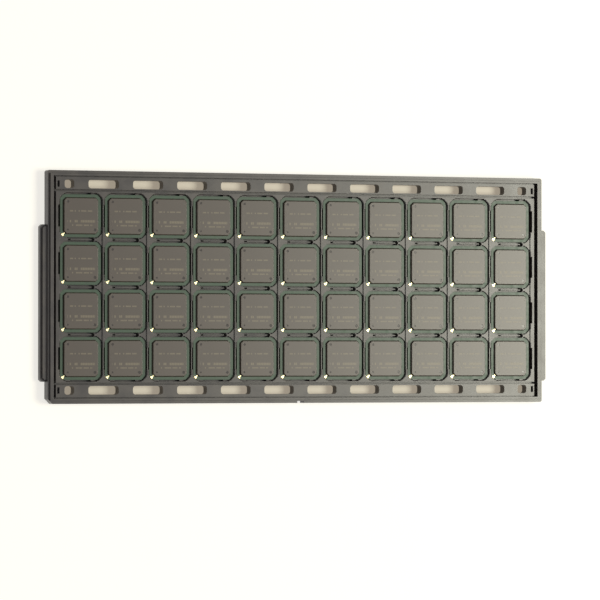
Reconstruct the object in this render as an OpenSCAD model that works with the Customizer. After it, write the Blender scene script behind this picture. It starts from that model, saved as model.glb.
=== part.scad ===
// Matrix tray for ball grid packages, filled.
// Units are millimetres. The origin is the middle of the tray on the plane that it rests on:
// X runs along the rows of eleven, Y along the columns of four, Z up.
// The chamfered corner that marks the first pocket is at -X, -Y.

/* [Tray body] */
// Length of the body without its end tabs
body_length = 315; // [312:0.5:330]
// Width of the body
body_width = 135.9; // [134:0.1:142]
// Height from the skirt to the top of the stacking ridge
tray_height = 7.62; // [7.2:0.02:9]
// How far one tray sinks into the next in a stack
nest_depth = 1.27; // [1:0.01:1.6]
// Chamfer of the corner that marks the first pocket
key_chamfer = 3; // [2:0.5:5]
// Radius of the other three corners
corner_radius = 0.8; // [0.4:0.1:2]

/* [Stacking ridge] */
// Ledge outside the ridge along the long sides
side_ledge = 1.85; // [1.5:0.05:2.2]
// Thickness of the ridge along the long sides
side_ridge = 1.3; // [1:0.05:1.6]
// Ledge outside the ridge at the short ends
end_ledge = 1.3; // [1.1:0.05:1.6]
// Thickness of the ridge at the short ends
end_ridge = 2; // [1.6:0.05:2.2]
// Clearance round a ridge that nests in the underside
nest_clearance = 0.2; // [0.1:0.05:0.3]

/* [Channels round the field] */
// Width of the channel inside the ridge along the long sides
side_channel = 0.6; // [0.4:0.05:0.8]
// Depth of that channel
side_channel_depth = 1.6; // [0.8:0.1:2.2]
// Width of the channel inside the ridge at the short ends
end_channel = 1.7; // [1:0.1:1.8]
// Depth of that channel
end_channel_depth = 3.7; // [2:0.1:4]
// Width of the channel between the slots and the pockets
field_channel = 1.2; // [0.8:0.05:1.3]
// Depth of that channel
field_channel_depth = 3; // [2:0.1:4]

/* [Slots] */
// Length of a slot between two columns
slot_length = 18.6; // [14:0.1:20]
// Width of every slot
slot_width = 5; // [4.6:0.1:5.4]
// Length of the short slot at each end of a row
short_slot_length = 5.8; // [5:0.1:7]
// Corner radius of every slot
slot_radius = 1.6; // [0.8:0.1:2]
// Wall between a slot and the channel of the field
slot_inner_wall = 0.7; // [0.4:0.05:0.8]
// Width of the blind notch beyond each short slot
end_notch_width = 1.4; // [1:0.1:1.6]
// Length of that notch across the tray
end_notch_length = 3.6; // [3:0.1:4.4]
// Depth of that notch
end_notch_depth = 2.5; // [1:0.1:4]
// Wall between that notch and the channel at the short end
end_notch_wall = 0.8; // [0.6:0.1:1.2]
// Wall round the hollows under the deck
core_wall = 1.2; // [0.9:0.1:1.6]

/* [End tabs] */
// How far each tab stands out from the body
tab_reach = 3.8; // [3:0.1:5]
// Where each tab starts, from the middle towards +Y
tab_top = 36.35; // [30:0.05:40]
// Where each tab ends, from the middle towards -Y
tab_bottom = 55.05; // [50:0.05:58]
// Height of the top of a tab
tab_height = 5.1; // [4.4:0.1:5.6]
// Width of the lower flange round the edge of a tab
tab_flange = 1.1; // [0.8:0.1:1.5]
// Height of that flange
tab_flange_height = 3.6; // [3:0.1:4]
// Chamfer at the corners of a tab
tab_chamfer = 1.2; // [0.6:0.1:1.8]

/* [Notch in the long edge] */
// Width of the notch in the long edge at -Y
edge_notch_width = 4.2; // [3:0.1:5]
// Depth of that notch into the edge
edge_notch_depth = 1.2; // [0.6:0.1:1.3]

/* [Pockets] */
// Number of columns
columns = 11; // [2:1:11]
// Number of rows
rows = 4; // [2:1:4]
// Distance between columns
pitch_x = 27.4; // [27.2:0.05:27.45]
// Distance between rows
pitch_y = 27.7; // [27.3:0.05:27.75]
// Clearance between a package and its pocket on each side
pocket_clearance = 0.15; // [0.1:0.01:0.2]
// Width of the ledge under the edge of a package
ledge_width = 0.55; // [0.4:0.05:0.6]
// Chamfer at the corners of the open window under the balls
window_chamfer = 1.3; // [1:0.1:1.6]
// Width of the lead-in slope round the top of a pocket
lead_in_width = 0.4; // [0.2:0.05:0.5]
// Depth of that slope
lead_in_depth = 0.5; // [0.3:0.05:1]
// Height of the ledge that the packages rest on
ledge_height = 4.4; // [4:0.05:4.5]
// Height of the open space under the ledge wall
skirt_gap = 0.3; // [0.2:0.05:0.5]

/* [Guide ribs] */
// Thickness of a rib at its guide posts
post_thickness = 1.4; // [1.2:0.05:1.8]
// Thickness of a rib between its posts
rib_thickness = 0.6; // [0.5:0.05:1]
// Length of a whole rib between two plateaus
rib_length = 19.4; // [18:0.1:20]
// Length of the thin part between two posts
rib_middle = 12.8; // [10:0.1:14]
// How far the thin middle of a rib between columns lies below the deck
rib_drop = 0.9; // [0.4:0.1:1]
// How far the ribs between rows lie below the deck
row_drop = 0.6; // [0.3:0.1:1]
// Depth of the gap beside the thin middle of a rib
rib_gap_depth = 4.6; // [3:0.1:5]
// Width of the notches in the ribs between rows
rib_notch = 1.8; // [1:0.1:2]
// Width of the gap beside a package at the short ends of the field
end_gap = 1.7; // [0.8:0.05:1.8]
// Wall between the outer rows of pockets and the channels beside them
field_wall = 0.6; // [0.5:0.05:0.8]

/* [Ball grid package] */
// Side of the square substrate
package_side = 25; // [24.8:0.05:25.1]
// Thickness of the substrate
substrate_thickness = 0.56; // [0.36:0.02:0.6]
// Chamfer at the corners of the substrate
substrate_chamfer = 2.1; // [1.5:0.1:2.5]
// Side of the mould cap at its foot
cap_side = 21.6; // [20:0.1:23]
// Thickness of the mould cap
cap_thickness = 1.17; // [0.8:0.01:1.17]
// How far the sides of the mould cap lean in, in degrees
cap_draft = 25; // [5:1:30]
// Chamfer at the corners of the mould cap
cap_chamfer = 1.7; // [1:0.1:2.5]

/* [Hidden] */
$fn = 48;

// Small overlap that lets a cut run clean out of a face.
through = 1;
two = function (n) n < 10 ? str("0", n) : str(n);
package_name = function (r, c) str("package_r", r, "_c", two(c));

// Heights, from the plane that the tray rests on.
deck_top = tray_height - nest_depth;
substrate_bottom = ledge_height;
substrate_top = substrate_bottom + substrate_thickness;
cap_top = substrate_top + cap_thickness;
gap_floor = deck_top - rib_gap_depth;

// Half sizes of the frame, from the outside in.
half_l = body_length / 2;
half_w = body_width / 2;
ridge_outer_x = half_l - end_ledge;
ridge_outer_y = half_w - side_ledge;
ridge_inner_x = ridge_outer_x - end_ridge;
ridge_inner_y = ridge_outer_y - side_ridge;
channel_inner_x = ridge_inner_x - end_channel;
channel_inner_y = ridge_inner_y - side_channel;

// The field of pockets.
half_pocket = package_side / 2 + pocket_clearance;
pocket_chamfer = substrate_chamfer + pocket_clearance * (2 - sqrt(2));
half_window = package_side / 2 - ledge_width;
last_x = (columns - 1) / 2 * pitch_x;
last_y = (rows - 1) / 2 * pitch_y;
field_half_y = last_y + pitch_y / 2 + rib_thickness / 2;
slot_y = field_half_y + field_channel + slot_inner_wall + slot_width / 2;
land_length = pitch_x - slot_length;
short_slot_x = last_x + land_length / 2 + short_slot_length / 2;
end_notch_x = channel_inner_x - end_notch_wall - end_notch_width / 2;

tray_colour = [0.36, 0.34, 0.32];
package_colour = [0.3, 0.42, 0.33];

// Centre of a pocket: row 1 is at +Y and column 1 at -X.
function pocket_at(r, c) = [(c - (columns + 1) / 2) * pitch_x, ((rows + 1) / 2 - r) * pitch_y];

// Square of half size h with its four corners cut off by c.
module cut_square(h, c) {
    polygon([
        [h - c, h], [h, h - c], [h, c - h], [h - c, -h],
        [c - h, -h], [-h, c - h], [-h, h - c], [c - h, h]
    ]);
}

module block(x0, x1, y0, y1, z0, z1) {
    translate([x0, y0, z0]) cube([x1 - x0, y1 - y0, z1 - z0]);
}

// Outline of the body, with the keyed corner at -X, -Y.
module body_outline() {
    difference() {
        square([body_length, body_width], center = true);
        for (corner = [[1, 1], [1, -1], [-1, 1]])
            translate([corner[0] * half_l, corner[1] * half_w])
                rotate(45)
                    square(corner_radius * sqrt(2), center = true);
        translate([-half_l, -half_w])
            rotate(45)
                square(key_chamfer * sqrt(2), center = true);
        translate([0, -half_w])
            square([edge_notch_width, 2 * edge_notch_depth], center = true);
    }
}

// Ridge that the next tray nests over.
module stacking_ridge() {
    difference() {
        block(-ridge_outer_x, ridge_outer_x, -ridge_outer_y, ridge_outer_y, deck_top - through, tray_height);
        block(-ridge_inner_x, ridge_inner_x, -ridge_inner_y, ridge_inner_y, 0, tray_height + through);
    }
}

// Raised tab at an end, with its lower flange. side is 1 at +X and -1 at -X.
module end_tab(side) {
    foot = half_l - through;
    tip = half_l + tab_reach;
    for (step = [[0, tab_flange_height], [tab_flange, tab_height]])
        linear_extrude(step[1])
            scale_x(side)
                polygon([
                    [foot, tab_top - step[0]],
                    [tip - step[0] - tab_chamfer, tab_top - step[0]],
                    [tip - step[0], tab_top - step[0] - tab_chamfer],
                    [tip - step[0], step[0] + tab_chamfer - tab_bottom],
                    [tip - step[0] - tab_chamfer, step[0] - tab_bottom],
                    [foot, step[0] - tab_bottom]
                ]);
}

module scale_x(side) {
    mirror([side < 0 ? 1 : 0, 0]) children();
}

// Through slot with rounded corners, centred on its middle.
module slot(length) {
    r = slot_radius;
    translate([0, 0, -through])
        linear_extrude(tray_height + 2 * through) {
            square([length, slot_width - 2 * r], center = true);
            square([length - 2 * r, slot_width], center = true);
            for (x = [r - length / 2, length / 2 - r], y = [r - slot_width / 2, slot_width / 2 - r])
                translate([x, y]) circle(r);
        }
}

// The slots and end notches of one long side, at +Y.
module slot_row() {
    for (i = [1 : columns - 1])
        translate([(i - columns / 2) * pitch_x, slot_y]) slot(slot_length);
    for (side = [-1, 1]) {
        translate([side * short_slot_x, slot_y]) slot(short_slot_length);
        translate([side * end_notch_x, slot_y, deck_top])
            cube([end_notch_width, end_notch_length, 2 * end_notch_depth], center = true);
    }
}

// Channels from above between the ridge, the slots and the field of pockets.
module channels() {
    for (side = [-1, 1]) {
        // inside the ridge at the short ends
        translate([side * (channel_inner_x + end_channel / 2), 0, deck_top])
            cube([end_channel, 2 * ridge_inner_y, 2 * end_channel_depth], center = true);
        // inside the ridge along the long sides
        translate([0, side * (channel_inner_y + side_channel / 2), deck_top])
            cube([2 * ridge_inner_x, side_channel, 2 * side_channel_depth], center = true);
        // between the slots and the pockets
        translate([0, side * (field_half_y + field_channel / 2), deck_top])
            cube([2 * channel_inner_x, field_channel, 2 * field_channel_depth], center = true);
    }
}

// Everything that one pocket takes out of the deck, centred on the pocket.
module pocket_cut() {
    gap_x = pitch_x / 2 - rib_thickness / 2;
    gap_y = pitch_y / 2 - rib_thickness / 2;
    post_x = pitch_x / 2 - post_thickness / 2;
    post_y = pitch_y / 2 - post_thickness / 2;
    above = deck_top + through;
    // room for the package itself
    translate([0, 0, ledge_height])
        linear_extrude(above - ledge_height) {
            cut_square(half_pocket, pocket_chamfer);
            square([2 * post_x, rib_length], center = true);
            square([rib_length, 2 * post_y], center = true);
        }
    // open window under the balls
    translate([0, 0, -through])
        linear_extrude(ledge_height + 2 * through)
            cut_square(half_window, window_chamfer);
    lead_ins();
    // gaps beside the thin middle of the ribs
    for (side = [-1, 1]) {
        block_between(side, half_pocket - 0.3, gap_x, rib_middle, gap_floor, above);
        rotate(90) block_between(side, half_pocket - 0.3, gap_y, rib_middle, gap_floor, above);
    }
}

// Prism along Y whose two sides slope outwards from half as it rises.
module flare(half, length) {
    rise = lead_in_depth + through;
    out = half + lead_in_width / lead_in_depth * rise;
    translate([0, 0, deck_top - lead_in_depth])
        rotate([90, 0])
            linear_extrude(length, center = true)
                polygon([[-half, 0], [half, 0], [out, rise], [-out, rise]]);
}

// Lead-in slopes round the top of one pocket, centred on the pocket.
module lead_ins() {
    diagonal = (2 * half_pocket - pocket_chamfer) / sqrt(2);
    wide = 3 * half_pocket;
    intersection() {
        flare(half_pocket, wide);
        rotate(90) flare(half_pocket, wide);
        rotate(45) flare(diagonal, wide);
        rotate(-45) flare(diagonal, wide);
    }
    flare(pitch_x / 2 - post_thickness / 2, rib_length);
    rotate(90) flare(pitch_y / 2 - post_thickness / 2, rib_length);
}

module block_between(side, x0, x1, length, z0, z1) {
    translate([side * (x0 + x1) / 2, 0, (z0 + z1) / 2])
        cube([x1 - x0, length, z1 - z0], center = true);
}

// Lowers the ribs: between columns only in their middle, between rows all along, with notches.
module rib_tops() {
    for (c = [1 : columns - 1], r = [1 : rows])
        translate([(c - columns / 2) * pitch_x, pocket_at(r, 1)[1], deck_top])
            cube([2 * rib_thickness, rib_middle, 2 * rib_drop], center = true);
    for (r = [1 : rows - 1], c = [1 : columns])
        translate([pocket_at(1, c)[0], (rows / 2 - r) * pitch_y, deck_top]) {
            cube([pitch_x - post_thickness, pitch_y - rib_length, 2 * row_drop], center = true);
            for (side = [-1, 1])
                translate([side * (rib_middle + rib_notch) / 2, 0])
                    cube([rib_notch, pitch_y - 2 * half_pocket + 0.1, 2 * rib_gap_depth], center = true);
        }
}

// Wider gaps beside the packages of the outer columns and rows.
module edge_gaps() {
    start = half_pocket - 0.3;
    above = deck_top + through;
    for (side = [-1, 1]) {
        for (r = [1 : rows])
            translate([side * last_x, pocket_at(r, 1)[1]])
                block_between(side, start, package_side / 2 + end_gap, rib_middle, gap_floor, above);
        for (c = [1 : columns])
            translate([pocket_at(1, c)[0], side * last_y])
                rotate(90)
                    block_between(side, start, field_half_y - last_y - field_wall, rib_middle, gap_floor, above);
    }
}

// Hollows under the lands between the slots, which keep the walls of the moulding even.
module land_cores() {
    for (side = [-1, 1], c = [1 : columns])
        translate([pocket_at(1, c)[0], side * slot_y])
            cube([land_length - 2 * core_wall, slot_width, 2 * (deck_top - core_wall)], center = true);
}

// Recess in the underside for the ridge of the tray below, and room over its deck.
module nesting_recess() {
    difference() {
        block(
            -ridge_outer_x - nest_clearance, ridge_outer_x + nest_clearance,
            -ridge_outer_y - nest_clearance, ridge_outer_y + nest_clearance,
            -through, nest_depth + nest_clearance
        );
        block(
            nest_clearance - ridge_inner_x, ridge_inner_x - nest_clearance,
            nest_clearance - ridge_inner_y, ridge_inner_y - nest_clearance,
            skirt_gap, tray_height
        );
    }
}

module tray() {
    color(tray_colour)
        difference() {
            union() {
                linear_extrude(deck_top) body_outline();
                stacking_ridge();
                end_tab(1);
                end_tab(-1);
            }
            nesting_recess();
            channels();
            slot_row();
            mirror([0, 1]) slot_row();
            for (r = [1 : rows], c = [1 : columns])
                translate(pocket_at(r, c)) pocket_cut();
            rib_tops();
            edge_gaps();
            land_cores();
        }
}

// Moulded cap whose four sides lean in, with cut corners.
module mould_cap() {
    lean = cap_thickness * tan(cap_draft);
    foot = cap_side / 2;
    head = foot - lean;
    intersection() {
        for (turn = [0, 90])
            rotate(turn)
                rotate([90, 0])
                    linear_extrude(cap_side + 2, center = true)
                        polygon([[-foot, 0], [foot, 0], [head, cap_thickness], [-head, cap_thickness]]);
        linear_extrude(3 * cap_thickness, center = true) cut_square(foot, cap_chamfer);
    }
}

// Ball grid package, standing on the underside of its substrate.
module package() {
    color(package_colour)
        union() {
            linear_extrude(substrate_thickness) cut_square(package_side / 2, substrate_chamfer);
            translate([0, 0, substrate_thickness]) mould_cap();
        }
}

tray();
for (r = [1 : rows])
    for (c = [1 : columns])
        translate([each pocket_at(r, c), ledge_height]) package();
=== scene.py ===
"""Looks of a filled matrix tray: a black moulded tray that carries ball grid packages in its pockets.

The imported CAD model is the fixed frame. The tray keeps its CAD solid and gets its plastic here. Each package
is rebuilt with its laminate, moulded cap, gold pad and solder balls, in the place of its CAD solid.
Lengths are in metres. Only the sizes of a package and values whose name ends in _mm are in millimetres.
"""

import logging
import math
from dataclasses import dataclass, field
from enum import Enum
from typing import Any, Iterable, Optional, Sequence

import bmesh
import bpy
from mathutils import Matrix, Vector


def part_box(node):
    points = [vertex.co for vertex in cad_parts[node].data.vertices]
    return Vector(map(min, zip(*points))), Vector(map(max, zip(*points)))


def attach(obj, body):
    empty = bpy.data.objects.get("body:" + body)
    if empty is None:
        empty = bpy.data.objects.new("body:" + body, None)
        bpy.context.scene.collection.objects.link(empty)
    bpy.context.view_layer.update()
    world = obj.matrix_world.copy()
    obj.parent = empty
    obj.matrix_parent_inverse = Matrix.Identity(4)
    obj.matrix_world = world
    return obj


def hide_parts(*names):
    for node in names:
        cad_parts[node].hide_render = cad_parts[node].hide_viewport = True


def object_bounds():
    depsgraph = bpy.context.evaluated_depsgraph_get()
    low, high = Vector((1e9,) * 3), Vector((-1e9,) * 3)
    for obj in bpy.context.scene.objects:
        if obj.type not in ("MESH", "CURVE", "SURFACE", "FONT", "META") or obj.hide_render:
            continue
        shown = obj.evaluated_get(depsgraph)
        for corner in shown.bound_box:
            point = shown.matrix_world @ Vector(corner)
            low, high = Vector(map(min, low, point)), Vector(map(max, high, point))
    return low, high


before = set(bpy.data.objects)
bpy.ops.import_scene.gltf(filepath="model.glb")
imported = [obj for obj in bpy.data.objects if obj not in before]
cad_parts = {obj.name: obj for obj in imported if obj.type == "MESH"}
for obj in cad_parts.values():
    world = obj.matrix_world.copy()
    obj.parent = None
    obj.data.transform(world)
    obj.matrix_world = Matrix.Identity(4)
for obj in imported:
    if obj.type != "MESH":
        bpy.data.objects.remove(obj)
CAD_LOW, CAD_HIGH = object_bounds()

MM = 0.001
ROOT_BODY = "root"
CAP_MAP = "cap_plan"
SHARP_DEGREES = 35.0
# Nearly all values of a noise texture lie between these two.
NOISE_LOW, NOISE_HIGH = 0.3, 0.7
# Scale of a wave texture whose bands lie one unit apart.
UNIT_WAVE = math.pi / 10

log = logging.getLogger("matrix_tray")

Colour = tuple[float, float, float, float]
Point = tuple[float, float, float]
Pair = tuple[float, float]
Tree = bpy.types.NodeTree
Socket = bpy.types.NodeSocket


class Slot(Enum):
    """The record's material slots."""

    TRAY = "tray_plastic"
    MOULD = "package_mould"
    LAMINATE = "package_laminate"
    PAD = "gold_pad"
    SOLDER = "solder_ball"


def linear(hex_colour: str) -> Colour:
    """Turn an sRGB hex colour into linear RGBA.

    Args:
        hex_colour: Six hex digits after a hash sign.

    Returns:
        The linear colour with an alpha of 1.
    """
    channels = [int(hex_colour[i : i + 2], 16) / 255 for i in (1, 3, 5)]
    red, green, blue = (c / 12.92 if c <= 0.04045 else ((c + 0.055) / 1.055) ** 2.4 for c in channels)
    return red, green, blue, 1.0


def add_node(tree: Tree, kind: str, links: Optional[dict[Any, Any]] = None, **settings: Any) -> bpy.types.Node:
    """Add a node, set its properties and feed its inputs.

    Args:
        tree: The node tree that gets the node.
        kind: The node's type, without the ShaderNode prefix.
        links: Input name or index to a value, or to an output socket that is linked to it.
        **settings: Properties of the node itself, such as operation.

    Returns:
        The new node.
    """
    made = tree.nodes.new("ShaderNode" + kind)
    for name, value in settings.items():
        setattr(made, name, value)
    for name, value in (links or {}).items():
        if isinstance(value, Socket):
            tree.links.new(value, made.inputs[name])
        else:
            made.inputs[name].default_value = value
    return made


def new_material(name: str) -> tuple[bpy.types.Material, Tree]:
    """Make an empty node material.

    Args:
        name: The material's name.

    Returns:
        The material and its cleared node tree.
    """
    made = bpy.data.materials.new(name)
    made.use_nodes = True
    made.node_tree.nodes.clear()
    return made, made.node_tree


def millimetres(tree: Tree) -> Socket:
    """Give the surface's own coordinates in millimetres.

    Args:
        tree: The material's node tree.

    Returns:
        The coordinates.
    """
    place = add_node(tree, "TexCoord")
    scaled = add_node(tree, "VectorMath", {0: place.outputs["Object"], "Scale": 1 / MM}, operation="SCALE")
    return scaled.outputs["Vector"]


def grain(tree: Tree, size_mm: float, detail: float) -> Socket:
    """Make a noise on the surface whose spots are about a given size.

    Args:
        tree: The material's node tree.
        size_mm: Size of a spot in millimetres.
        detail: Octaves of finer noise.

    Returns:
        The noise's value, about 0.5 on average.
    """
    noise = add_node(tree, "TexNoise", {"Vector": millimetres(tree), "Scale": 1 / size_mm, "Detail": detail})
    return noise.outputs["Fac"]


def fade(tree: Tree, value: Socket, first: Any, second: Any, window: Pair = (0.0, 1.0)) -> Socket:
    """Fade from one colour to another while a value crosses a window.

    Args:
        tree: The material's node tree.
        value: The value that picks the colour.
        first: Colour below the window.
        second: Colour above the window.
        window: Where the first colour ends, and where the second is reached.

    Returns:
        The colour.
    """
    share = add_node(tree, "MapRange", {0: value, 1: window[0], 2: window[1]})
    mixed = add_node(tree, "Mix", {0: share.outputs[0], 6: first, 7: second}, data_type="RGBA")
    return mixed.outputs[2]


def combine(tree: Tree, operation: str, values: Sequence[Socket]) -> Socket:
    """Join masks into one.

    Args:
        tree: The node tree.
        operation: MAXIMUM for any of the masks, MULTIPLY for all of them.
        values: The masks.

    Returns:
        The joined mask.
    """
    total = values[0]
    for value in values[1:]:
        total = add_node(tree, "Math", {0: total, 1: value}, operation=operation).outputs[0]
    return total


def surface(tree: Tree, **inputs: Any) -> None:
    """Finish a material with one Principled shader.

    Args:
        tree: The material's node tree.
        **inputs: Inputs of the shader, with underscores for spaces.
    """
    named = {name.replace("_", " "): value for name, value in inputs.items()}
    shader = add_node(tree, "BsdfPrincipled", named)
    add_node(tree, "OutputMaterial", {"Surface": shader.outputs["BSDF"]})


@dataclass(frozen=True)
class CarbonFilledMoulding:
    """Injection-moulded engineering plastic filled with carbon, which sheds static charge.

    Nearly black in itself, with a broad satin sheen that turns it warm grey where it faces a lamp.
    """

    colour: str = "#272120"
    mottle_colour: str = "#302925"
    mottle_mm: float = 9.0
    mottle_window: Pair = (0.35, 0.65)
    roughness: float = 0.32
    roughness_spread: float = 0.04
    ior: float = 1.55
    # A real spark-eroded texture is nearer 0.03 mm; it is drawn coarser, so that it shows in close views.
    spark_mm: float = 0.22
    spark_depth_mm: float = 0.012
    spark_strength: float = 0.5
    edge_radius_mm: float = 0.12
    edge_samples: int = 4

    def make(self) -> bpy.types.Material:
        """Build the material: flow mottle in colour and gloss, and the texture of a spark-eroded mould.

        Returns:
            The material.
        """
        made, tree = new_material("carbon_filled_moulding")
        flow = grain(tree, self.mottle_mm, 4)
        rounded = add_node(tree, "Bevel", {"Radius": self.edge_radius_mm * MM}, samples=self.edge_samples)
        relief = {
            "Height": grain(tree, self.spark_mm, 3),
            "Distance": self.spark_depth_mm * MM,
            "Strength": self.spark_strength,
            "Normal": rounded.outputs["Normal"],
        }
        low, high = self.roughness - self.roughness_spread, self.roughness + self.roughness_spread
        surface(
            tree,
            Base_Color=fade(tree, flow, linear(self.colour), linear(self.mottle_colour), self.mottle_window),
            Roughness=add_node(tree, "MapRange", {0: flow, 1: NOISE_LOW, 2: NOISE_HIGH, 3: low, 4: high}).outputs[0],
            IOR=self.ior,
            Normal=add_node(tree, "Bump", relief).outputs["Normal"],
        )
        return made


@dataclass(frozen=True)
class Dimple:
    """A round ejector mark on a cap. All sizes are in millimetres from the cap's centre."""

    x: float
    y: float
    diameter: float


DIMPLES = (Dimple(-8.1, 8.3, 1.5), Dimple(-8.2, -8.1, 1.1), Dimple(8.4, -8.1, 1.7))


@dataclass(frozen=True)
class MarkLine:
    """One faint row of dashes where a package carries its laser marking. All sizes are in millimetres."""

    middle: float
    height: float
    left: float
    right: float
    dash: float
    filled: float


@dataclass(frozen=True)
class FilledEpoxy:
    """Silica-filled epoxy, transfer moulded and laser marked.

    Matt and slightly speckled, with marks that are paler and rougher than the rest.
    """

    colour: str = "#3a312a"
    speckle_colour: str = "#443a32"
    speckle_mm: float = 0.3
    tone_mm: float = 21.0
    tone_window: Pair = (0.6, 1.4)
    mark_colour: str = "#857a62"
    mark_strength: float = 0.42
    mark_roughness: float = 0.45
    pin_colour: str = "#322b27"
    pin_roughness: float = 0.2
    roughness: float = 0.33
    ior: float = 1.52
    relief_mm: float = 0.008
    relief_strength: float = 0.4
    # Share of the dashes left out, like the spaces between words.
    gap_share: float = 0.14
    lines: tuple[MarkLine, ...] = (
        MarkLine(2.8, 0.8, -6.9, 6.7, 0.8, 0.84),
        MarkLine(-3.2, 1.4, -8.4, -2.2, 1.0, 0.76),
        MarkLine(-3.2, 1.4, -0.4, 8.4, 1.0, 0.76),
        MarkLine(-5.5, 0.8, -6.1, 6.8, 0.8, 0.8),
    )

    def dashes(self, tree: Tree) -> Socket:
        """Build the mask of the marked rows.

        Args:
            tree: The material's node tree.

        Returns:
            1 on a dash and 0 off it.
        """
        plan = add_node(tree, "UVMap", uv_map=CAP_MAP)
        axes = add_node(tree, "SeparateXYZ", {0: plan.outputs["UV"]})
        rows = [self.row(tree, axes.outputs["X"], axes.outputs["Y"], line) for line in self.lines]
        return combine(tree, "MAXIMUM", rows)

    def row(self, tree: Tree, along: Socket, across: Socket, line: MarkLine) -> Socket:
        """Build the mask of one marked row.

        Args:
            tree: The material's node tree.
            along: Place along the row in millimetres.
            across: Place across the row in millimetres.
            line: The row.

        Returns:
            1 on a dash and 0 off it.
        """
        cell = add_node(tree, "Math", {0: along, 1: line.dash}, operation="DIVIDE").outputs[0]
        within = add_node(tree, "Math", {0: cell}, operation="FRACT").outputs[0]
        index = add_node(tree, "Math", {0: cell}, operation="FLOOR").outputs[0]
        seed = add_node(tree, "Math", {0: index, 1: line.middle + line.left}, operation="ADD").outputs[0]
        chance = add_node(tree, "TexWhiteNoise", {"W": seed}, noise_dimensions="1D").outputs["Value"]
        tests = (
            ("LESS_THAN", {0: within, 1: line.filled}),
            ("GREATER_THAN", {0: chance, 1: self.gap_share}),
            ("COMPARE", {0: along, 1: (line.right + line.left) / 2, 2: (line.right - line.left) / 2}),
            ("COMPARE", {0: across, 1: line.middle, 2: line.height / 2}),
        )
        masks = [add_node(tree, "Math", links, operation=operation).outputs[0] for operation, links in tests]
        return combine(tree, "MULTIPLY", masks)

    def pins(self, tree: Tree) -> Socket:
        """Build the mask of the smooth round faces that the ejector pins leave.

        Args:
            tree: The material's node tree.

        Returns:
            1 on a pin's face and 0 off it.
        """
        plan = add_node(tree, "UVMap", uv_map=CAP_MAP).outputs["UV"]
        faces = []
        for dimple in DIMPLES:
            away = add_node(tree, "VectorMath", {0: plan, 1: (dimple.x, dimple.y, 0)}, operation="DISTANCE")
            edge = {0: away.outputs["Value"], 1: dimple.diameter / 2}
            faces.append(add_node(tree, "Math", edge, operation="LESS_THAN").outputs[0])
        return combine(tree, "MAXIMUM", faces)

    def make(self) -> bpy.types.Material:
        """Build the material: a fine speckle, a slow change of tone from package to package, and the marks.

        Returns:
            The material.
        """
        made, tree = new_material("filled_epoxy_mould")
        speckle = grain(tree, self.speckle_mm, 3)
        tone = grain(tree, self.tone_mm, 1)
        marks = add_node(tree, "Math", {0: self.dashes(tree), 1: self.mark_strength}, operation="MULTIPLY").outputs[0]
        mixed = add_node(tree, "Math", {0: speckle, 1: tone}, operation="ADD").outputs[0]
        body = fade(tree, mixed, linear(self.colour), linear(self.speckle_colour), self.tone_window)
        marked = fade(tree, marks, body, linear(self.mark_colour))
        rough = add_node(tree, "MapRange", {0: marks, 3: self.roughness, 4: self.mark_roughness}).outputs[0]
        relief = {"Height": speckle, "Distance": self.relief_mm * MM, "Strength": self.relief_strength}
        pins = self.pins(tree)
        surface(
            tree,
            Base_Color=fade(tree, pins, marked, linear(self.pin_colour)),
            Roughness=add_node(tree, "Mix", {0: pins, 2: rough, 3: self.pin_roughness}).outputs[0],
            IOR=self.ior,
            Normal=add_node(tree, "Bump", relief).outputs["Normal"],
        )
        return made


@dataclass(frozen=True)
class SolderMaskLaminate:
    """Copper-clad resin laminate under a green solder mask, routed to size.

    The mask is a glossy film over fine copper tracks; the routed edge shows the browner core.
    """

    colour: str = "#0f2c18"
    track_colour: str = "#1a4322"
    core_colour: str = "#2e331d"
    smooth: float = 0.34
    rough: float = 0.48
    ior: float = 1.5
    mottle_mm: float = 3.0
    # Real tracks lie about 0.2 mm apart; they are drawn wider, so that they show in close views.
    track_pitch_mm: float = 0.8
    track_waviness: float = 0.6
    track_window: Pair = (0.0, 0.5)
    track_depth_mm: float = 0.01
    track_strength: float = 0.3
    edge_window: Pair = (0.4, 0.6)

    def make(self) -> bpy.types.Material:
        """Build the material: tracks under the mask on the faces, and the core on the cut edges.

        Returns:
            The material.
        """
        made, tree = new_material("solder_mask_laminate")
        wave = {
            "Vector": millimetres(tree),
            "Scale": UNIT_WAVE / self.track_pitch_mm,
            "Distortion": self.track_waviness,
            "Detail": 1.0,
        }
        waves = [add_node(tree, "TexWave", wave, bands_direction=axis).outputs["Fac"] for axis in "XY"]
        tracks = combine(tree, "MULTIPLY", waves)
        mottle = grain(tree, self.mottle_mm, 2)
        share = combine(tree, "MULTIPLY", [tracks, mottle])
        mask = fade(tree, share, linear(self.colour), linear(self.track_colour), self.track_window)
        facing = add_node(tree, "SeparateXYZ", {0: add_node(tree, "NewGeometry").outputs["Normal"]})
        flat = add_node(tree, "Math", {0: facing.outputs["Z"]}, operation="ABSOLUTE").outputs[0]
        gloss = {0: mottle, 1: NOISE_LOW, 2: NOISE_HIGH, 3: self.smooth, 4: self.rough}
        relief = {"Height": tracks, "Distance": self.track_depth_mm * MM, "Strength": self.track_strength}
        surface(
            tree,
            Base_Color=fade(tree, flat, linear(self.core_colour), mask, self.edge_window),
            Roughness=add_node(tree, "MapRange", gloss).outputs[0],
            IOR=self.ior,
            Normal=add_node(tree, "Bump", relief).outputs["Normal"],
        )
        return made


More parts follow.
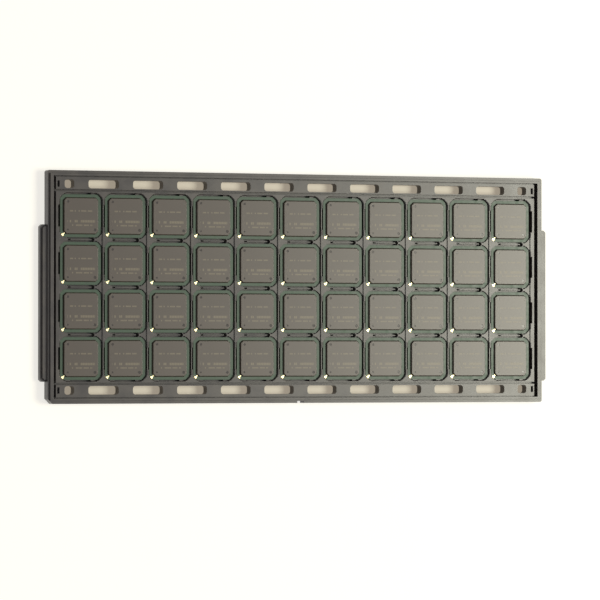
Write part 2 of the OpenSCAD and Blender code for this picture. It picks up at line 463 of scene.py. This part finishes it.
@dataclass(frozen=True)
class PlatedMetal:
    """A bright metal finish: gold plate on a copper pad, or reflowed solder.

    It mirrors the room softly, in patches that are a little duller.
    """

    name: str
    colour: str
    dull_colour: str
    roughness: float
    grain_mm: float
    unevenness: float = 0.2
    dull_window: Pair = (0.4, 0.7)

    def make(self) -> bpy.types.Material:
        """Build the material: slight patches of duller metal.

        Returns:
            The material.
        """
        made, tree = new_material(self.name)
        patches = grain(tree, self.grain_mm, 3)
        low, high = self.roughness * (1 - self.unevenness), self.roughness * (1 + self.unevenness)
        gloss = {0: patches, 1: NOISE_LOW, 2: NOISE_HIGH, 3: low, 4: high}
        surface(
            tree,
            Base_Color=fade(tree, patches, linear(self.colour), linear(self.dull_colour), self.dull_window),
            Metallic=1.0,
            Roughness=add_node(tree, "MapRange", gloss).outputs[0],
        )
        return made


@dataclass(frozen=True)
class Finishes:
    """Every material of the part, made once and shared."""

    tray: bpy.types.Material
    mould: bpy.types.Material
    laminate: bpy.types.Material
    pad: bpy.types.Material
    solder: bpy.types.Material

    @classmethod
    def make(cls) -> "Finishes":
        """Build all the materials.

        Returns:
            The finished set.
        """
        gold = PlatedMetal("gold_plate", colour="#fff3c8", dull_colour="#f3dc93", roughness=0.34, grain_mm=0.4)
        solder = PlatedMetal("reflowed_solder", colour="#d5d7d8", dull_colour="#b4b8ba", roughness=0.3, grain_mm=0.5)
        return cls(
            tray=CarbonFilledMoulding().make(),
            mould=FilledEpoxy().make(),
            laminate=SolderMaskLaminate().make(),
            pad=gold.make(),
            solder=solder.make(),
        )


def cut_square(half: float, chamfer: float) -> list[Pair]:
    """Return the eight corners of a square with cut corners, anticlockwise.

    Args:
        half: Half the side of the square.
        chamfer: Length that each corner loses along a side.

    Returns:
        The corners in the plane.
    """
    near = half - chamfer
    quarter = [(half, -near), (half, near)]
    corners: list[Pair] = []
    for _ in range(4):
        corners += quarter
        quarter = [(-y, x) for x, y in quarter]
    return corners


def solid_between(levels: Sequence[tuple[float, Sequence[Pair]]]) -> bmesh.types.BMesh:
    """Build a closed solid through outlines at rising heights.

    Args:
        levels: Pairs of a height and its outline; all outlines have as many points.

    Returns:
        The solid, capped at both ends.
    """
    made = bmesh.new()
    rings = [[made.verts.new((x, y, z)) for x, y in outline] for z, outline in levels]
    for low, high in zip(rings, rings[1:]):
        for i in range(len(low)):
            j = (i + 1) % len(low)
            made.faces.new((low[i], low[j], high[j], high[i]))
    made.faces.new(list(reversed(rings[0])))
    made.faces.new(rings[-1])
    return made


def round_edges(solid: bmesh.types.BMesh, edges: Iterable[bmesh.types.BMEdge], radius: float, segments: int) -> None:
    """Round the given edges of a solid."""
    bmesh.ops.bevel(
        solid, geom=list(edges), offset=radius, segments=segments, profile=0.5, affect="EDGES", clamp_overlap=True
    )


def mesh_of(name: str, solid: bmesh.types.BMesh) -> bpy.types.Mesh:
    """Turn a solid into a smooth-shaded mesh that keeps its sharp edges.

    Args:
        name: The mesh's name.
        solid: The solid, which is used up.

    Returns:
        The mesh.
    """
    made = bpy.data.meshes.new(name)
    bmesh.ops.recalc_face_normals(solid, faces=list(solid.faces))
    solid.to_mesh(made)
    solid.free()
    made.shade_smooth()
    made.set_sharp_from_angle(angle=math.radians(SHARP_DEGREES))
    return made


def place_piece(name: str, mesh: bpy.types.Mesh, at: Point) -> bpy.types.Object:
    """Put a mesh in the scene as a piece of the part.

    Args:
        name: The piece's name.
        mesh: Its mesh, which other pieces may share.
        at: Where its origin goes, in metres.

    Returns:
        The new object, riding on the part's one body.
    """
    made = bpy.data.objects.new(name, mesh)
    bpy.context.scene.collection.objects.link(made)
    made.location = at
    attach(made, ROOT_BODY)
    return made


@dataclass
class Tray:
    """The one-piece tray, which keeps its CAD solid."""

    node: str = "tray"

    def dress(self, finishes: Finishes) -> None:
        """Give the CAD solid its plastic.

        Args:
            finishes: The part's materials.
        """
        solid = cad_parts[self.node]
        solid.data.materials.clear()
        solid.data.materials.append(finishes.tray)
        log.info("tray: %d faces dressed", len(solid.data.polygons))


@dataclass(frozen=True)
class DrawnPart:
    """One mesh of a package, shared by all packages."""

    name: str
    mesh: bpy.types.Mesh
    slot: Slot
    replaces_solid: bool


@dataclass
class BallGridPackage:
    """One 25 mm ball grid package, drawn once and repeated in every pocket. Sizes are in millimetres."""

    side: float = 25.0
    corner: float = 2.1
    laminate: float = 0.56
    laminate_round: float = 0.05
    cap_side: float = 21.6
    cap_corner: float = 1.7
    cap_draft_degrees: float = 25.0
    cap_round: float = 0.14
    dimple_depth: float = 0.16
    dimple_flare: float = 0.5
    dimple_sides: int = 28
    pad_centre: float = 11.15
    pad_diameter: float = 1.5
    pad_thickness: float = 0.04
    pad_steps: int = 26
    runner_width: float = 0.5
    ball_pitch: float = 1.27
    balls_a_side: int = 19
    ball_diameter: float = 0.75
    ball_height: float = 0.6
    ball_sides: int = 8
    ball_rings_degrees: Pair = (5.0, 52.0)
    ball_sharp_degrees: float = 50.0
    parts: list[DrawnPart] = field(default_factory=list)

    def cap_thickness(self, node: str) -> float:
        """Return the cap's thickness in millimetres, which is what the CAD package has above its laminate."""
        low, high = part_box(node)
        return (high.z - low.z) / MM - self.laminate

    def build(self, node: str, finishes: Finishes) -> None:
        """Draw the meshes, with the underside of the laminate at height 0.

        Args:
            node: Any CAD package, which gives the total thickness.
            finishes: The part's materials.
        """
        drawn = (
            ("laminate", self.draw_laminate(), finishes.laminate, Slot.LAMINATE, True),
            ("cap", self.draw_cap(self.cap_thickness(node)), finishes.mould, Slot.MOULD, True),
            ("pad", self.draw_pad(), finishes.pad, Slot.PAD, False),
            ("balls", self.draw_balls(), finishes.solder, Slot.SOLDER, False),
        )
        for name, mesh, finish, slot, replaces_solid in drawn:
            mesh.materials.append(finish)
            self.parts.append(DrawnPart(name, mesh, slot, replaces_solid))
            log.info("%s: %d faces", name, len(mesh.polygons))

    def draw_laminate(self) -> bpy.types.Mesh:
        """Draw the square substrate with its cut corners.

        Returns:
            The mesh.
        """
        outline = [(x * MM, y * MM) for x, y in cut_square(self.side / 2, self.corner)]
        solid = solid_between([(0.0, outline), (self.laminate * MM, outline)])
        round_edges(solid, solid.edges, self.laminate_round * MM, segments=1)
        return mesh_of("laminate", solid)

    def draw_cap(self, thickness: float) -> bpy.types.Mesh:
        """Draw the moulded cap with leaning sides, rounded edges and ejector dimples.

        Args:
            thickness: Thickness of the cap in millimetres.

        Returns:
            The mesh, with a map of its plan in millimetres for the marks.
        """
        lean = thickness * math.tan(math.radians(self.cap_draft_degrees))
        head_corner = self.cap_corner - lean * (2 - math.sqrt(2))
        foot = [(x * MM, y * MM) for x, y in cut_square(self.cap_side / 2, self.cap_corner)]
        head = [(x * MM, y * MM) for x, y in cut_square(self.cap_side / 2 - lean, head_corner)]
        bottom, top = self.laminate * MM, (self.laminate + thickness) * MM
        solid = solid_between([(bottom, foot), (top, head)])
        upper = [edge for edge in solid.edges if any(v.co.z > (bottom + top) / 2 for v in edge.verts)]
        round_edges(solid, upper, self.cap_round * MM, segments=3)
        mesh = self.sink_dimples(mesh_of("cap", solid), top)
        plan = mesh.uv_layers.new(name=CAP_MAP)
        for loop in mesh.loops:
            spot = mesh.vertices[loop.vertex_index].co
            plan.data[loop.index].uv = (spot.x / MM, spot.y / MM)
        return mesh

    def sink_dimples(self, mesh: bpy.types.Mesh, top: float) -> bpy.types.Mesh:
        """Cut the ejector dimples into the top of the cap.

        Args:
            mesh: The plain cap.
            top: Height of its top in metres.

        Returns:
            The cap with its dimples.
        """
        tools = bmesh.new()
        flare = self.dimple_flare * self.dimple_depth
        for dimple in DIMPLES:
            bmesh.ops.create_cone(
                tools,
                cap_ends=True,
                segments=self.dimple_sides,
                radius1=(dimple.diameter / 2 - flare) * MM,
                radius2=(dimple.diameter / 2 + flare) * MM,
                depth=2 * self.dimple_depth * MM,
                matrix=Matrix.Translation((dimple.x * MM, dimple.y * MM, top)),
            )
        cutter = bpy.data.objects.new("dimple_tools", mesh_of("dimple_tools", tools))
        blank = bpy.data.objects.new("cap_blank", mesh)
        for item in (cutter, blank):
            bpy.context.scene.collection.objects.link(item)
        cut = blank.modifiers.new("dimples", "BOOLEAN")
        cut.operation, cut.solver, cut.object = "DIFFERENCE", "EXACT", cutter
        even = blank.modifiers.new("even_shading", "WEIGHTED_NORMAL")
        even.keep_sharp = True
        bpy.context.view_layer.update()
        shaped = bpy.data.meshes.new_from_object(blank.evaluated_get(bpy.context.evaluated_depsgraph_get()))
        shaped.name = "cap"
        for item in (cutter, blank):
            bpy.data.objects.remove(item)
        return shaped

    def draw_pad(self) -> bpy.types.Mesh:
        """Draw the gold pad where the mould was filled: a round land with a short runner towards the cap.

        Returns:
            The mesh.
        """
        low, high = self.laminate * MM, (self.laminate + self.pad_thickness) * MM
        radius, half = self.pad_diameter / 2 * MM, self.runner_width / 2 * MM
        # The runner ends at the middle of the cap's cut corner.
        reach = (self.pad_centre - self.cap_side / 2 + self.cap_corner / 2) * math.sqrt(2) * MM
        start = math.asin(half / radius)
        arc = 2 * math.pi - 2 * start
        angles = [start + arc * i / self.pad_steps for i in range(self.pad_steps + 1)]
        outline = [(reach, -half), (reach, half)] + [(radius * math.cos(a), radius * math.sin(a)) for a in angles]
        centre = Vector((-self.pad_centre * MM, -self.pad_centre * MM))
        turned = [centre + Matrix.Rotation(math.radians(45), 2) @ Vector(point) for point in outline]
        placed = [(point.x, point.y) for point in turned]
        return mesh_of("pad", solid_between([(low, placed), (high, placed)]))

    def draw_balls(self) -> bpy.types.Mesh:
        """Draw the full array of solder balls under the laminate, without the four corner ones.

        Returns:
            The mesh.
        """
        profile, sides = self.ball_profile(), self.ball_sides
        turns = [2 * math.pi * k / sides for k in range(sides)]
        points: list[Point] = []
        faces: list[tuple[int, ...]] = []
        for x, y in self.ball_places():
            first = len(points)
            for radius, height in profile:
                points += [(x + radius * math.cos(turn), y + radius * math.sin(turn), height) for turn in turns]
            points.append((x, y, -self.ball_height * MM))
            last, tip = first + (len(profile) - 1) * sides, len(points) - 1
            faces.append(tuple(range(first, first + sides)))
            for k in range(sides):
                after = (k + 1) % sides
                for ring in range(first, last, sides):
                    faces.append((ring + k, ring + k + sides, ring + after + sides, ring + after))
                faces.append((last + k, tip, last + after))
        mesh = bpy.data.meshes.new("balls")
        mesh.from_pydata(points, [], faces)
        mesh.shade_smooth()
        mesh.set_sharp_from_angle(angle=math.radians(self.ball_sharp_degrees))
        return mesh

    def ball_profile(self) -> list[Pair]:
        """Give the rings that a ball is drawn through.

        Returns:
            Radius and height of each ring, from the joint on the laminate down to near the tip.
        """
        radius = self.ball_diameter / 2 * MM
        centre = radius - self.ball_height * MM
        angles = [math.asin(-centre / radius)] + [-math.radians(below) for below in self.ball_rings_degrees]
        return [(radius * math.cos(a), centre + radius * math.sin(a)) for a in angles]

    def ball_places(self) -> Iterable[Pair]:
        """Find the places of the balls.

        Yields:
            The centre of each ball in metres.
        """
        last = self.balls_a_side - 1
        for row in range(self.balls_a_side):
            for column in range(self.balls_a_side):
                if row in (0, last) and column in (0, last):
                    continue
                yield (column - last / 2) * self.ball_pitch * MM, (row - last / 2) * self.ball_pitch * MM

    def stand_in(self, node: str) -> None:
        """Put one package in the place of its CAD solid.

        Args:
            node: The CAD package that it stands for.
        """
        low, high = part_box(node)
        middle = ((low.x + high.x) / 2, (low.y + high.y) / 2, low.z)
        place = node.removeprefix("package_")
        for part in self.parts:
            piece = place_piece(f"{part.name}_{place}", part.mesh, middle)
            if part.replaces_solid:
                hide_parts(node)


@dataclass
class Studio:
    """Camera, lamp, world and floor. None of them is part of the object."""

    aim: Point = (0.0021, -0.0067, 0.0)
    distance: float = 2.384
    turned_left_degrees: float = 21.35
    tipped_degrees: float = 0.82
    lens: float = 240.0
    clip: Pair = (0.05, 50.0)
    floor_side: float = 12.0
    floor_gap: float = 0.02 * MM
    floor_colour: str = "#a8a49c"
    floor_glow: str = "#dddbd6"
    # Painted shade: under the tray the floor glows darker, for the floor seen through the slots; these give its tone
    # and half size.
    under_tray_painted_shade: str = "#968c7c"
    painted_shade_half: Pair = (0.153, 0.0655)
    world_light: float = 0.34
    key_place: Point = (1.06, -0.05, 1.25)
    key_aim: Point = (0.05, 0.0, 0.0)
    key_side: float = 0.7
    key_power: float = 26.5
    key_colour: str = "#fefdeb"

    def set_up(self) -> None:
        """Build the whole studio."""
        self.place_camera()
        self.hang_lamp()
        self.light_world()
        self.lay_floor()
        bpy.context.scene.view_settings.view_transform = "Standard"
        log.info("studio: camera %.2f m away, lens %.0f mm", self.distance, self.lens)

    def place_camera(self) -> None:
        """Look down on the tray from above and a little to the left, with +Y up in the picture."""
        turn, tip = math.radians(self.turned_left_degrees), math.radians(self.tipped_degrees)
        back = Vector((-math.sin(turn) * math.cos(tip), -math.sin(tip), math.cos(turn) * math.cos(tip)))
        right = Vector((0, 1, 0)).cross(back).normalized()
        axes = Matrix((right, back.cross(right), back)).transposed()
        data = bpy.data.cameras.new("camera")
        data.lens = self.lens
        data.clip_start, data.clip_end = self.clip
        camera = bpy.data.objects.new("camera", data)
        camera.matrix_world = Matrix.Translation(Vector(self.aim) + self.distance * back) @ axes.to_4x4()
        bpy.context.scene.collection.objects.link(camera)
        bpy.context.scene.camera = camera

    def hang_lamp(self) -> None:
        """Hang one warm soft box at the right, whose mirror image fades along the tray."""
        data = bpy.data.lights.new("soft_box", "AREA")
        data.shape, data.size = "SQUARE", self.key_side
        data.energy, data.color = self.key_power, linear(self.key_colour)[:3]
        lamp = bpy.data.objects.new("soft_box", data)
        lamp.location = self.key_place
        lamp.rotation_mode = "QUATERNION"
        lamp.rotation_quaternion = (Vector(self.key_aim) - Vector(self.key_place)).to_track_quat("-Z", "Y")
        bpy.context.scene.collection.objects.link(lamp)

    def light_world(self) -> None:
        """Light the rest from a white world, which is dimmer for light than for the eye."""
        world = bpy.data.worlds.new("studio")
        world.use_nodes = True
        tree = world.node_tree
        tree.nodes.clear()
        strength = add_node(tree, "MapRange", {0: self.seen(tree), 3: self.world_light, 4: 1.0})
        sky = add_node(tree, "Background", {"Color": (1, 1, 1, 1), "Strength": strength.outputs[0]})
        add_node(tree, "OutputWorld", {"Surface": sky.outputs[0]})
        bpy.context.scene.world = world

    def seen(self, tree: Tree) -> Socket:
        """Tell the rays that show the background from those that only carry light.

        Args:
            tree: The node tree.

        Returns:
            1 for rays that are straight, mirrored or through glass, and 0 for the others.
        """
        path = add_node(tree, "LightPath")
        kinds = ("Is Camera Ray", "Is Glossy Ray", "Is Transmission Ray")
        return combine(tree, "MAXIMUM", [path.outputs[kind] for kind in kinds])

    def painted_shade_under_tray(self, tree: Tree) -> Socket:
        """Mask the floor under the tray, whose darker glow is painted shade on the floor seen through the slots.

        Args:
            tree: The node tree.

        Returns:
            1 under the tray and 0 on the open floor.
        """
        place = add_node(tree, "SeparateXYZ", {0: add_node(tree, "TexCoord").outputs["Object"]})
        inside = []
        for axis, half in zip("XY", self.painted_shade_half):
            away = add_node(tree, "Math", {0: place.outputs[axis]}, operation="ABSOLUTE").outputs[0]
            inside.append(add_node(tree, "Math", {0: away, 1: half}, operation="LESS_THAN").outputs[0])
        return combine(tree, "MULTIPLY", inside)

    def lay_floor(self) -> None:
        """Lay a pale floor that shows nearly white, keeps the tray's shadow and is clear from below; under the tray
        its glow is darker, as painted shade.
        """
        made, tree = new_material("pale_floor")
        bare = add_node(tree, "BsdfDiffuse", {"Color": linear(self.floor_colour)})
        # Painted shade: the glow is darker under the tray, so the floor seen through the slots looks shaded.
        tone = fade(tree, self.painted_shade_under_tray(tree), linear(self.floor_glow), linear(self.under_tray_painted_shade))
        glow = add_node(tree, "Emission", {"Color": tone, "Strength": self.seen(tree)})
        lit = add_node(tree, "AddShader", {0: bare.outputs[0], 1: glow.outputs[0]})
        clear = add_node(tree, "BsdfTransparent")
        under = add_node(tree, "NewGeometry").outputs["Backfacing"]
        both = add_node(tree, "MixShader", {0: under, 1: lit.outputs[0], 2: clear.outputs[0]})
        add_node(tree, "OutputMaterial", {"Surface": both.outputs[0]})
        half = self.floor_side / 2
        mesh = bpy.data.meshes.new("floor")
        corners = [(-half, -half, 0), (half, -half, 0), (half, half, 0), (-half, half, 0)]
        mesh.from_pydata(corners, [], [(0, 1, 2, 3)])
        mesh.materials.append(made)
        floor = bpy.data.objects.new("floor", mesh)
        floor.location.z = CAD_LOW.z - self.floor_gap
        bpy.context.scene.collection.objects.link(floor)


def main() -> None:
    """Dress the tray, fill it and set up the studio."""
    logging.basicConfig(level=logging.INFO, format="%(name)s %(message)s")
    finishes = Finishes.make()
    Studio().set_up()
    Tray().dress(finishes)
    nodes = sorted(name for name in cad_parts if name.startswith("package_"))
    package = BallGridPackage()
    package.build(nodes[0], finishes)
    for node in nodes:
        package.stand_in(node)
    log.info("packages: %d placed", len(nodes))


if __name__ == "__main__":
    main()
